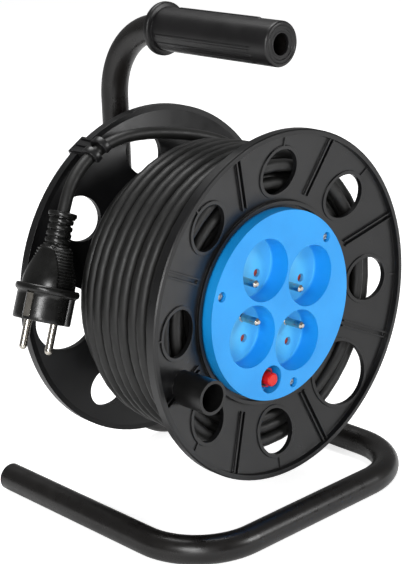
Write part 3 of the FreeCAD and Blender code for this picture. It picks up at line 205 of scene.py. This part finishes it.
def make_materials():
    """One finish for each slot of the record."""
    return {
        # black powder coat over steel tube: even satin with faint orange peel
        "tube_paint": moulded("black_powder_coat", "#0f0d0c", "#161413", 0.3, 1.1, 0.03, edge=0.2),
        # soft black PVC of the grip: dull, a little mottled
        "grip_plastic": moulded("black_soft_pvc", "#0b0a0b", "#111011", 0.38, 0.6, 0.03, edge=0.5),
        # black polypropylene from a polished mould: satin with flow marks
        "drum_plastic": moulded("black_polypropylene", "#0b0b0c", "#111112", 0.33, 0.9, 0.015,
                                patch=20.0, edge=0.35),
        # black polypropylene of the knob: duller than the drum
        "knob_plastic": moulded("matt_black_polypropylene", "#0a0a0a", "#0f0f0f", 0.36, 0.7, 0.02, edge=0.3),
        # blue ABS: clean, slightly glossy; its recess floors are paled with painted light
        "panel_blue": paint_glow_inside(moulded("blue_abs", "#1493e2", "#1b9bea", 0.36, 0.8, 0.01, patch=30.0,
                                          spread=0.04, edge=0.35), "#5cc8f8", *PAINTED_GLOW_DEPTHS),
        # red polyester of the shutters
        "shutter_red": moulded("red_polyester", "#d8472c", "#e2553a", 0.4, 0.5, 0.01, edge=0.2),
        # glossy red nylon of the reset button and nut
        "reset_red": moulded("red_nylon", "#cf120c", "#dc1810", 0.26, 0.6, 0.01, edge=0.4),
        # pale grey thermoset of the socket block
        "housing_plastic": moulded("grey_thermoset", "#b9b8b2", "#c6c5bf", 0.5, 0.5, 0.02),
        # black thermoset of the cut-out's case
        "cutout_plastic": moulded("black_thermoset", "#1e1c1b", "#2a2725", 0.5, 0.5, 0.02),
        # dark polyamide of the gland
        "gland_plastic": moulded("dark_polyamide", "#2e2f30", "#3a3b3c", 0.45, 0.6, 0.02),
        # white acetal of the bearing bushes
        "bush_plastic": moulded("white_acetal", "#dddcd4", "#e8e7e0", 0.35, 0.8, 0.01),
        # zinc plate on turned and cold-headed steel
        "zinc_steel": moulded("zinc_plated_steel", "#a9acae", "#c3c6c8", 0.3, 0.3, 0.003, patch=3.0,
                              metallic=1.0, edge=0.05),
        # nickel plate on brass pins
        "nickel": moulded("nickel_plated_brass", "#b9b3a9", "#d2cdc4", 0.2, 0.4, 0.0008, patch=4.0,
                          metallic=1.0, edge=0.02),
        # bare stamped brass
        "brass": moulded("stamped_brass", "#b58d42", "#c9a258", 0.34, 0.5, 0.01, patch=5.0, metallic=1.0),
        # black extruded PVC jacket: dull sheen, fine drag lines
        "cord_rubber": moulded("black_pvc_jacket", "#0b0b0a", "#121211", 0.5, 0.7, 0.03, patch=8.0, edge=0.1),
        # moulded black PVC of the plug
        "plug_rubber": moulded("black_plug_pvc", "#090908", "#0f0f0e", 0.28, 0.6, 0.02, patch=8.0, edge=0.25),
        # wire insulation in the usual colours
        "wire_brown": moulded("brown_insulation", "#5c3218", "#6b3d20", 0.4, 0.4, 0.01),
        "wire_blue": moulded("blue_insulation", "#1f5fae", "#2a6cbc", 0.4, 0.4, 0.01),
        "wire_green": moulded("green_insulation", "#6f9c1e", "#b5b81f", 0.4, 0.4, 0.01, patch=3.0),
    }


# ---------------------------------------------------------------- cord

CORD_DIAMETER = 8.0
CORD_RADIUS = CORD_DIAMETER / 2
CORE_RADIUS = 60.0
TURN_PITCH = 8.15
STEPS_PER_TURN = 16
EXIT_ANGLE = 72.0
LEAVING_ANGLE = 50.5
CHANGE_TURNS = 0.4        # part of a turn over which the cord climbs to the next layer
# Where each layer starts and ends along the drum's axis, from the drum's middle.
LAYER_RUNS = [(-39.5, 39.5), (35.5, -43.8), (-45.4, 34.5), (30.5, -47.0), (-48.4, 22.0)]
LAYER_RISE = 7.0          # from one layer to the next by the front flange
REAR_NESTING = 0.5        # how much less it rises towards the rear flange
NESTING_REACH = 30.0
ENTRY_SHARE = 0.97        # the first point lies a little inside the barrel's hole
TAIL_INSIDE_BOOT = 8.0

# The free end of the cord, from the coil over the drum to the plug, about the drum's middle.
CORD_ROUTE = [
    (56.0, 22.0, 68.0), (42.5, 26.5, 82.5), (21.6, 31.0, 91.4), (-5.1, 38.0, 97.5), (-30.4, 43.0, 99.6),
    (-49.7, 46.0, 95.9), (-68.1, 45.0, 88.0), (-83.0, 41.0, 76.4), (-91.4, 37.8, 62.8),
]
PLUG_AXIS = Vector((0.387, 0.078, 0.919)).normalized()
PLUG_PIN_LINE = Vector((0.289, -0.956, -0.041))


def from_hub(x, y, z):
    """A point about the drum's middle in millimetres, as a place in the frame."""
    return HUB + Vector((x, y, z)) * MM


def layer_pitch(y):
    """Rise from one layer to the next: nested tighter towards the rear flange."""
    return LAYER_RISE - REAR_NESTING * min(max(y / NESTING_REACH, 0), 1)


def winding_stops():
    """(turns so far, y, layer) at the ends of each layer."""
    stops = []
    turns = 0.0
    for layer, (start, end) in enumerate(LAYER_RUNS):
        if layer:
            turns += CHANGE_TURNS
        stops.append((turns, start, layer))
        turns += abs(end - start) / TURN_PITCH
        stops.append((turns, end, layer))
    return stops


def barrel_exit(share=1.0):
    """Where the cord comes out of the barrel, or a point at a share of the barrel's radius."""
    angle = math.radians(EXIT_ANGLE)
    radius = CORE_RADIUS * share
    return from_hub(radius * math.cos(angle), LAYER_RUNS[0][0], radius * math.sin(angle))


def uneven(turns):
    """Sideways and outward wander of hand-laid turns, in millimetres."""
    sideways = 0.35 * math.sin(2.3 * turns) + 0.25 * math.sin(5.1 * turns + 1.0)
    outward = 0.3 * math.sin(3.7 * turns + 2.0)
    return sideways, outward


def wound_points():
    """Control points of the turns on the barrel, from the hole in the barrel to the outer layer's end."""
    stops = winding_stops()
    whole = round(stops[-1][0]) + (LEAVING_ANGLE - EXIT_ANGLE) / 360
    steps = round(whole * STEPS_PER_TURN)
    grow = 1 / math.cos(math.pi / STEPS_PER_TURN)  # the smooth line runs inside its control points
    points = [barrel_exit(ENTRY_SHARE)]
    leg = 0
    for step in range(1, steps + 1):
        turns = step / steps * stops[-1][0]
        while turns > stops[leg + 1][0] and leg < len(stops) - 2:
            leg += 1
        (t0, y0, layer0), (t1, y1, layer1) = stops[leg], stops[leg + 1]
        share = (turns - t0) / (t1 - t0)
        y = y0 + (y1 - y0) * share
        layer = layer0 + (layer1 - layer0) * share
        sideways, outward = uneven(turns)
        radius = (CORE_RADIUS + CORD_RADIUS + layer * layer_pitch(y) + outward) * grow
        angle = math.radians(EXIT_ANGLE + 360 * whole * step / steps)
        points.append(from_hub(radius * math.cos(angle), y + sideways, radius * math.sin(angle)))
    return points


def make_cord(materials):
    """One smooth spline: every turn on the drum and the free end up to the plug's strain relief."""
    data = bpy.data.curves.new("cord", "CURVE")
    data.dimensions = "3D"
    data.resolution_u = 3
    data.bevel_depth = CORD_RADIUS * MM
    data.bevel_resolution = 3
    data.use_fill_caps = True
    inside_boot = Vector(CORD_ROUTE[-1]) - PLUG_AXIS * TAIL_INSIDE_BOOT
    points = wound_points()[:-1] + [from_hub(*spot) for spot in CORD_ROUTE] + [from_hub(*inside_boot)]
    spline = data.splines.new("NURBS")
    spline.points.add(len(points) - 1)
    for control, place in zip(spline.points, points):
        control.co = (*place, 1)
    spline.order_u = 3
    spline.use_endpoint_u = True
    cord = bpy.data.objects.new("cord", data)
    bpy.context.scene.collection.objects.link(cord)
    data.materials.append(materials["cord_rubber"])
    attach(cord, DRUM)
    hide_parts("cable_coil", "cable_tail")
    return cord


# ---------------------------------------------------------------- shared shapes

def blend_between(low, high, share):
    """Smooth step from one value to another as a share runs from 0 to 1."""
    share = min(max(share, 0), 1)
    return low + (high - low) * share * share * (3 - 2 * share)


def angle_from(theta, centre):
    """Distance in degrees between two directions, to the nearer of centre and its opposite."""
    return abs((math.degrees(theta) - centre + 90) % 180 - 90)


def level(radius):
    """Radius rule of a plain round ring."""
    return lambda theta, z: radius


def add_piece(name, vertices, faces, material, crease, place=None):
    """Smooth mesh, creased where its faces meet at more than an angle in degrees."""
    mesh = bpy.data.meshes.new(name)
    mesh.from_pydata(vertices, [], faces)
    mesh.polygons.foreach_set("use_smooth", [True] * len(faces))
    mesh.set_sharp_from_angle(angle=math.radians(crease))
    mesh.materials.append(material)
    if place is not None:
        mesh.transform(place)
        if place.determinant() < 0:
            mesh.flip_normals()
    piece = bpy.data.objects.new(name, mesh)
    bpy.context.scene.collection.objects.link(piece)
    return piece


def ringed_faces(rows, segments, closed_loop=False):
    """Faces between rings of points; a closed loop joins the last ring to the first, else both are capped."""
    faces = []
    for row in range(rows - (0 if closed_loop else 1)):
        for index in range(segments):
            after = (index + 1) % segments
            a = row * segments
            b = (row + 1) % rows * segments
            faces.append((a + index, a + after, b + after, b + index))
    if not closed_loop:
        faces.append(tuple(reversed(range(segments))))
        faces.append(tuple(range((rows - 1) * segments, rows * segments)))
    return faces


def ringed_piece(name, rows, segments, material, place, closed_loop=False):
    """Closed skin through rings about local Z, each a (z, radius rule)."""
    vertices = []
    for z, rule in rows:
        for index in range(segments):
            theta = 2 * math.pi * index / segments
            radius = rule(theta, z)
            vertices.append((radius * math.cos(theta), radius * math.sin(theta), z))
    return add_piece(name, vertices, ringed_faces(len(rows), segments, closed_loop), material, 40, place)


# ---------------------------------------------------------------- plug

COLLAR_HALF = 2.25
COLLAR_RADIUS = 20.0
COLLAR_ROUND = 1.4
FACE_DEPTH = 17.4
FACE_ROUND = 1.0
PLUG_RADIUS = 18.0
GUIDE_GROOVE = (0, 2.2, 2.2, 0.6)    # direction, half width, depth and flank of the grooves by the pins
STRIP_GROOVE = (90, 2.3, 1.0, 0.5)   # the same of the flats under the earth strips
GROOVE_END = 0.8                     # how far under the collar they stop
GRIP_LENGTH = 26.0
GRIP_ALONG = (17.4, 12.4)            # half width along the line of the pins, at the collar and at the neck
GRIP_ACROSS = (14.8, 8.2)
SHIELD_CENTRE = 84                   # direction of the smooth shields' middle, from the line of the pins
SHIELD_SPREAD = 56                   # half width of a shield at the collar, in degrees
SHIELD_REACH = 0.96                  # share of the grip's length at which its arch closes
SIDE_SUNK = 1.1
RIDGE_HEIGHT = 0.85
RIDGE_PITCH = 1.9
NECK_START = 0.86
NECK_DRAFT = 0.22
BOOT_LENGTH = 20.5
BOOT_RADIUS = 8.0
BOOT_CORE = 6.3
BOOT_RINGS = 5
BOOT_PITCH = 4.1
BOOT_RING_LENGTH = 3.1
BOOT_RING_ROUND = 0.9
BOOT_LAST_RING = 1.0                 # how much wider the last ring is
BOOT_TAPER = 0.1                     # how much narrower each other ring is than the one before
BRIDGE_HALF = 34                     # half width of a bridge between two rings, in degrees
BRIDGE_SUNK = 0.7
AXIS_RADIUS = 0.01                   # a ring that is as good as a point


def plug_frame():
    """Plug frame: Z towards the cord, X along the line of the pins, origin at the collar's middle."""
    line = (PLUG_PIN_LINE - PLUG_AXIS * PLUG_PIN_LINE.dot(PLUG_AXIS)).normalized()
    side = PLUG_AXIS.cross(line)
    top = COLLAR_HALF + GRIP_LENGTH + BOOT_LENGTH
    origin = from_hub(*(Vector(CORD_ROUTE[-1]) - PLUG_AXIS * top))
    turn = Matrix((line, side, PLUG_AXIS)).transposed().to_4x4()
    return Matrix.Translation(origin) @ turn @ Matrix.Scale(MM, 4)


def groove_depth(theta, direction, half_width, depth, flank):
    """How deep a lengthwise groove with soft flanks is in a direction round the lower body."""
    across = math.radians(angle_from(theta, direction)) * PLUG_RADIUS
    return depth * (1 - blend_between(0, 1, (across - half_width) / flank))


def plug_lower_radius(theta, z):
    """Round lower body with guide grooves on the pin line and flats for the earth strips."""
    if z >= -COLLAR_HALF - GROOVE_END:
        return PLUG_RADIUS
    return PLUG_RADIUS - groove_depth(theta, *GUIDE_GROOVE) - groove_depth(theta, *STRIP_GROOVE)


def plug_grip_radius(theta, z):
    """Tapered grip: smooth arched shields on the faces, fine cross ridges on the two sides."""
    share = (z - COLLAR_HALF) / GRIP_LENGTH
    along = blend_between(*GRIP_ALONG, share)
    across = blend_between(*GRIP_ACROSS, share)
    radius = along * across / math.hypot(across * math.cos(theta), along * math.sin(theta))
    arch = SHIELD_SPREAD * math.sqrt(max(0.0, 1 - (share / SHIELD_REACH) ** 3))
    sunk = blend_between(0, 1, (angle_from(theta, SHIELD_CENTRE) - arch) / 4)
    ridge = RIDGE_HEIGHT * (0.5 + 0.5 * math.cos(2 * math.pi * z / RIDGE_PITCH))
    neck = 1 - NECK_DRAFT * blend_between(0, 1, (share - NECK_START) / (1 - NECK_START))
    return (radius - sunk * (SIDE_SUNK - ridge)) * neck


def plug_rows():
    """(z, radius rule) of each ring of the plug's body, from the pins' face to the strain relief."""
    face = -COLLAR_HALF - FACE_DEPTH
    grip_end = COLLAR_HALF + GRIP_LENGTH

    def inset(depth):
        return lambda theta, z: plug_lower_radius(theta, z) - depth

    rows = [(face, level(AXIS_RADIUS)), (face, inset(4 * FACE_ROUND)), (face, inset(FACE_ROUND)),
            (face + FACE_ROUND / 4, inset(0.3 * FACE_ROUND))]
    rows += [(face + 0.9 + step * 1.95, plug_lower_radius) for step in range(9)]
    collar_steps = 8
    for step in range(collar_steps + 1):
        turn = -math.pi / 2 + math.pi * step / collar_steps
        radius = COLLAR_RADIUS - COLLAR_ROUND * (1 - math.cos(turn))
        rows.append((COLLAR_HALF * math.sin(turn), level(radius)))
    steps = 110
    rows += [(COLLAR_HALF + GRIP_LENGTH * step / steps, plug_grip_radius) for step in range(steps + 1)]
    rows.append((grip_end + AXIS_RADIUS, level(3.0)))
    return rows


def boot_rows():
    """Strain relief: rings with gaps that are bridged on alternate sides, the last ring the widest."""
    start = COLLAR_HALF + GRIP_LENGTH
    rows = [(start - 1.5, level(BOOT_CORE + 1.2))]
    for ring in range(BOOT_RINGS):
        low = start + 0.9 + ring * BOOT_PITCH
        wide = BOOT_RADIUS + (BOOT_LAST_RING if ring == BOOT_RINGS - 1 else -BOOT_TAPER * ring)
        bridge = 90 * (ring % 2)

        def gap_radius(theta, z, bridge=bridge, wide=wide):
            return BOOT_CORE if angle_from(theta, bridge) > BRIDGE_HALF else wide - BRIDGE_SUNK

        rows += [(low - 0.8, gap_radius), (low - 0.2, gap_radius)]
        ring_steps = 6
        for step in range(ring_steps + 1):
            turn = -math.pi / 2 + math.pi * step / ring_steps
            radius = wide - BOOT_RING_ROUND * (1 - math.sqrt(max(0.0, math.cos(turn))))
            rows.append((low + BOOT_RING_LENGTH / 2 * (1 + math.sin(turn)), level(radius)))
    end = start + BOOT_LENGTH
    return rows + [(end, level(CORD_RADIUS + 0.9)), (end, level(CORD_RADIUS - 0.2))]


def make_plug(materials):
    """Moulded plug and its strain relief."""
    rubber = materials["plug_rubber"]
    body = ringed_piece("plug_moulding", plug_rows(), 216, rubber, plug_frame())
    boot = ringed_piece("plug_strain_relief", boot_rows(), 72, rubber, plug_frame())
    for piece, node in ((body, "plug_body"), (boot, "plug_boot")):
        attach(piece, DRUM)
        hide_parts(node)
    return [body, boot]


# ---------------------------------------------------------------- cord clip

CLIP_TURN = math.radians(-31)     # where the clip sits on the rear rim, from the top towards the left
CLIP_LEVEL = 108.4                # the held cord's distance from the drum's axis
CLIP_CORD_Y = 46.0
CLIP_HALF = 7.0
CLIP_PLAY = 0.5
CLIP_WALL = 2.5
CLIP_ROUND = 0.5
FINGER_GAP = 2.2                  # from the clip's middle to each finger
BRIDGE_TOP = 111.2
BRIDGE_UNDER = 108.8
HOOK_FRONT = 50.5
HOOK_INSIDE = 63.2
HOOK_BACK = 65.5
HOOK_TIP = 102.5


def rounded_bar(outline_points, low_x, high_x, round_over):
    """Vertices and faces of a bar along local X with a given (y, z) section and rounded end edges."""
    centre_y = sum(y for y, _ in outline_points) / len(outline_points)
    centre_z = sum(z for _, z in outline_points) / len(outline_points)
    count = len(outline_points)
    corner = round_over * 0.3
    stations = [(low_x, round_over), (low_x + corner, corner), (low_x + round_over, 0),
                (high_x - round_over, 0), (high_x - corner, corner), (high_x, round_over)]
    vertices = []
    for x, inset in stations:
        for y, z in outline_points:
            away = Vector((y - centre_y, z - centre_z))
            shift = away.normalized() * inset
            vertices.append((x, y - shift.x, z - shift.y))
    faces = []
    for start in range(0, (len(stations) - 1) * count, count):
        for index in range(count):
            after = (index + 1) % count
            faces.append((start + index, start + count + index, start + count + after, start + after))
    faces.append(tuple(range(count)))
    faces.append(tuple(reversed(range((len(stations) - 1) * count, len(stations) * count))))
    return vertices, faces


def arc_points(centre, radius, start, end, steps):
    """Points along an arc from one direction to another, in degrees."""
    turns = [math.radians(start + (end - start) * step / steps) for step in range(steps + 1)]
    return [(centre[0] + radius * math.cos(turn), centre[1] + radius * math.sin(turn)) for turn in turns]


def clip_shapes():
    """(section, low x, high x) of the clip's fingers, hook and ribs."""
    cord_spot = (CLIP_CORD_Y, CLIP_LEVEL)
    inner = CORD_RADIUS + CLIP_PLAY
    outer = inner + CLIP_WALL
    finger = arc_points(cord_spot, outer, 200, -30, 20) + [(54.6, 104.6), (54.6, 102.2)]
    finger += reversed(arc_points(cord_spot, inner, 205, -50, 20))
    hook = [(HOOK_FRONT, BRIDGE_TOP), (HOOK_BACK, BRIDGE_TOP), (HOOK_BACK, HOOK_TIP), (HOOK_INSIDE, HOOK_TIP),
            (HOOK_INSIDE, BRIDGE_UNDER), (HOOK_FRONT, BRIDGE_UNDER)]
    rib = [(49.0, 111.0), (64.0, 111.0), (64.0, 112.2), (49.0, 112.2)]
    return [(finger, -CLIP_HALF, -FINGER_GAP), (finger, FINGER_GAP, CLIP_HALF), (hook, -CLIP_HALF, CLIP_HALF),
            (rib, -6.4, -4.6), (rib, -0.9, 0.9), (rib, 4.6, 6.4)]


def make_clip(materials):
    """Two spring fingers round the cord on a bridge that hooks over the rim of the rear flange."""
    turn = Matrix.Rotation(CLIP_TURN, 3, "Y")
    vertices, faces = [], []
    for section, low_x, high_x in clip_shapes():
        spots, sides = rounded_bar(section, low_x, high_x, CLIP_ROUND)
        first = len(vertices)
        vertices += [tuple(from_hub(*(turn @ Vector(spot)))) for spot in spots]
        faces += [tuple(first + index for index in side) for side in sides]
    clip = add_piece("cord_clip", vertices, faces, materials["drum_plastic"], 35)
    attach(clip, DRUM)
    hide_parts("cable_clip")


# ---------------------------------------------------------------- grip

SLEEVE_FRONT = Vector((0, -0.071, 0.303))
SLEEVE_RADIUS = 13.75
SLEEVE_RIBS = (90, -8, 188, -30, 210, -52, 232)   # directions of the lengthwise ribs round the sleeve
TOP_RIB = 90
TOP_RIB_RUN = (17, 88, 0.75)                      # start, end and height
SIDE_RIB_RUN = (14, 97, 0.5)
RIB_HALF = 0.6
RIB_FLANK = 0.5


def sleeve_radius(theta, z):
    """Round sleeve with low lengthwise ribs: a long one on top, three along each lower side."""
    height = 0.0
    for rib in SLEEVE_RIBS:
        across = math.radians(abs((math.degrees(theta) - rib + 180) % 360 - 180)) * SLEEVE_RADIUS
        start, end, tall = TOP_RIB_RUN if rib == TOP_RIB else SIDE_RIB_RUN
        along = min(blend_between(0, 1, z - start), blend_between(0, 1, end - z))
        height = max(height, tall * along * (1 - blend_between(0, 1, (across - RIB_HALF) / RIB_FLANK)))
    return SLEEVE_RADIUS + height


def sleeve_rows():
    """Sleeve profile: front hole, stepped end face, side, rear collar and bore."""
    face = [(3.0, 6.5), (0.9, 6.5), (0.5, 6.8), (0.5, 7.6), (0.9, 7.8), (0.9, 9.2), (0.3, 9.5), (0.3, 10.7),
            (0.6, 10.9), (0.6, 11.3), (0.1, 11.6), (0.0, 12.3), (0.25, 12.95), (0.7, 13.4), (1.5, 13.74)]
    collar = [(99.8, 14.4), (99.9, 16.3), (100.4, 16.85), (101.2, 16.97), (102.8, 16.97), (103.6, 16.7),
              (104.0, 16.0), (104.0, 9.6), (103.6, 9.1), (3.0, 9.1)]
    side_start, side_end = 1.6, 99.6
    steps = 98
    side = [(side_start + (side_end - side_start) * step / steps, sleeve_radius) for step in range(steps + 1)]
    return [(z, level(radius)) for z, radius in face] + side + [(z, level(radius)) for z, radius in collar]


def make_grip(materials):
    """Moulded sleeve on the handle tube."""
    turn = Matrix(((1, 0, 0), (0, 0, 1), (0, 1, 0))).to_4x4()
    place = Matrix.Translation(SLEEVE_FRONT) @ turn @ Matrix.Scale(MM, 4)
    plastic = materials["grip_plastic"]
    grip = ringed_piece("handle_sleeve", sleeve_rows(), 288, plastic, place, closed_loop=True)
    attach(grip, "stand")
    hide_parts("handle_grip")


# ---------------------------------------------------------------- screws of the socket panel

SCREW_CIRCLE = 54.5
SCREW_ANGLES = (40, 160, 280)
SCREW_HEAD_RADIUS = 2.8
SCREW_HEAD_TOP = -56.9
SCREW_DOME = 0.8
SCREW_SHANK_RADIUS = 1.5
SCREW_SEGMENTS = 48
CROSS_ARM = 0.42                  # half width of an arm of the cross recess
CROSS_FLANK = 0.18
CROSS_REACH = 1.75
CROSS_RUNOUT = 0.5
HEAD_RINGS = (AXIS_RADIUS, 0.2, 0.35, 0.5, 0.7, 0.9, 1.1, 1.3, 1.5, 1.7, 1.9, 2.2, 2.5, 2.7)
# (radius, depth) below the head's dome: its edge, its underside, the shank and the point
SHANK_RINGS = ((SCREW_HEAD_RADIUS, 1.1), (SCREW_HEAD_RADIUS, 2.0), (SCREW_SHANK_RADIUS, 2.0),
               (SCREW_SHANK_RADIUS, 14.0), (AXIS_RADIUS, 15.0))


def cross_depth(x, y):
    """Depth of a cross recess with sloping flanks, 1 mm at its floor."""
    def flank(across, along):
        wide = blend_between(0, 1, (CROSS_ARM + CROSS_FLANK - abs(across)) / CROSS_FLANK)
        return wide * blend_between(0, 1, (CROSS_REACH - abs(along)) / CROSS_RUNOUT)
    return max(flank(x, y), flank(y, x))


def head_depth(x, y, turn):
    """Depth of the domed and cross-cut head at a place, with the cross turned by an angle."""
    along = x * math.cos(turn) + y * math.sin(turn)
    across = y * math.cos(turn) - x * math.sin(turn)
    return SCREW_DOME * (math.hypot(x, y) / SCREW_HEAD_RADIUS) ** 2 + cross_depth(along, across)


def screw_vertices(centre, turn):
    """Rings of a cross-head screw about the drum's middle."""
    vertices = []
    for radius, depth in [(radius, None) for radius in HEAD_RINGS] + list(SHANK_RINGS):
        for index in range(SCREW_SEGMENTS):
            angle = 2 * math.pi * index / SCREW_SEGMENTS
            x, y = radius * math.cos(angle), radius * math.sin(angle)
            sink = head_depth(x, y, turn) if depth is None else depth
            vertices.append(tuple(from_hub(centre[0] + x, SCREW_HEAD_TOP + sink, centre[1] + y)))
    return vertices


def make_panel_screws(materials):
    """Three cross-head screws that hold the socket panel."""
    vertices, faces = [], []
    rings = len(HEAD_RINGS) + len(SHANK_RINGS)
    for number, angle in enumerate(SCREW_ANGLES):
        centre = (SCREW_CIRCLE * math.cos(math.radians(angle)), SCREW_CIRCLE * math.sin(math.radians(angle)))
        first = len(vertices)
        vertices += screw_vertices(centre, 0.5 + number)
        sides = ringed_faces(rings, SCREW_SEGMENTS)[:-2]  # the end rings are points and take no cap
        faces += [tuple(first + index for index in side) for side in sides]
    screws = add_piece("cross_head_screws", vertices, faces, materials["zinc_steel"], 50)
    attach(screws, DRUM)
    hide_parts("panel_screws")


# ---------------------------------------------------------------- floor

FLOOR_HALF = 6.0
FLOOR_BOUNCE = 0.12   # glow of the floor towards the object
FLOOR_GLOW = 0.72     # glow of the floor itself, which keeps the backdrop white


def make_floor():
    """Plain pale studio floor."""
    mesh = bpy.data.meshes.new("floor")
    half = FLOOR_HALF
    corners = [(-half, -half, 0), (half, -half, 0), (half, half, 0), (-half, half, 0)]
    mesh.from_pydata(corners, [], [(0, 1, 2, 3)])
    material = bpy.data.materials.new("pale_floor")
    material.use_nodes = True
    tree = material.node_tree
    shader = tree.nodes["Principled BSDF"]
    place = add_node(tree, "ShaderNodeTexCoord").outputs["Object"]
    patches = add_node(tree, "ShaderNodeTexNoise", Vector=place, Scale=2.0, Detail=2.0)
    colour_between(tree, shader, patches, (0.0, "#f4f4f4"), (1.0, "#fafafa"))
    shader.inputs["Roughness"].default_value = 0.7
    shader.inputs["Emission Color"].default_value = (1, 1, 1, 1)
    seen = add_node(tree, "ShaderNodeLightPath").outputs["Is Camera Ray"]
    glow = add_node(tree, "ShaderNodeMapRange", Value=seen, To_Min=FLOOR_BOUNCE, To_Max=FLOOR_GLOW)
    tree.links.new(glow.outputs["Result"], shader.inputs["Emission Strength"])
    mesh.materials.append(material)
    floor = bpy.data.objects.new("floor", mesh)
    bpy.context.scene.collection.objects.link(floor)


def finish_nodes(materials):
    """Give every CAD node the finish of its slot."""
    for row in frame["record"]["subparts"]:
        node = frame["nodes"][row["node"]]
        node.data.materials.clear()
        node.data.materials.append(materials[row["material_slot"]])


set_camera()
set_light()
make_floor()
materials = make_materials()
finish_nodes(materials)
cord = make_cord(materials)
plug_pieces = make_plug(materials)
make_grip(materials)
make_clip(materials)
make_panel_screws(materials)
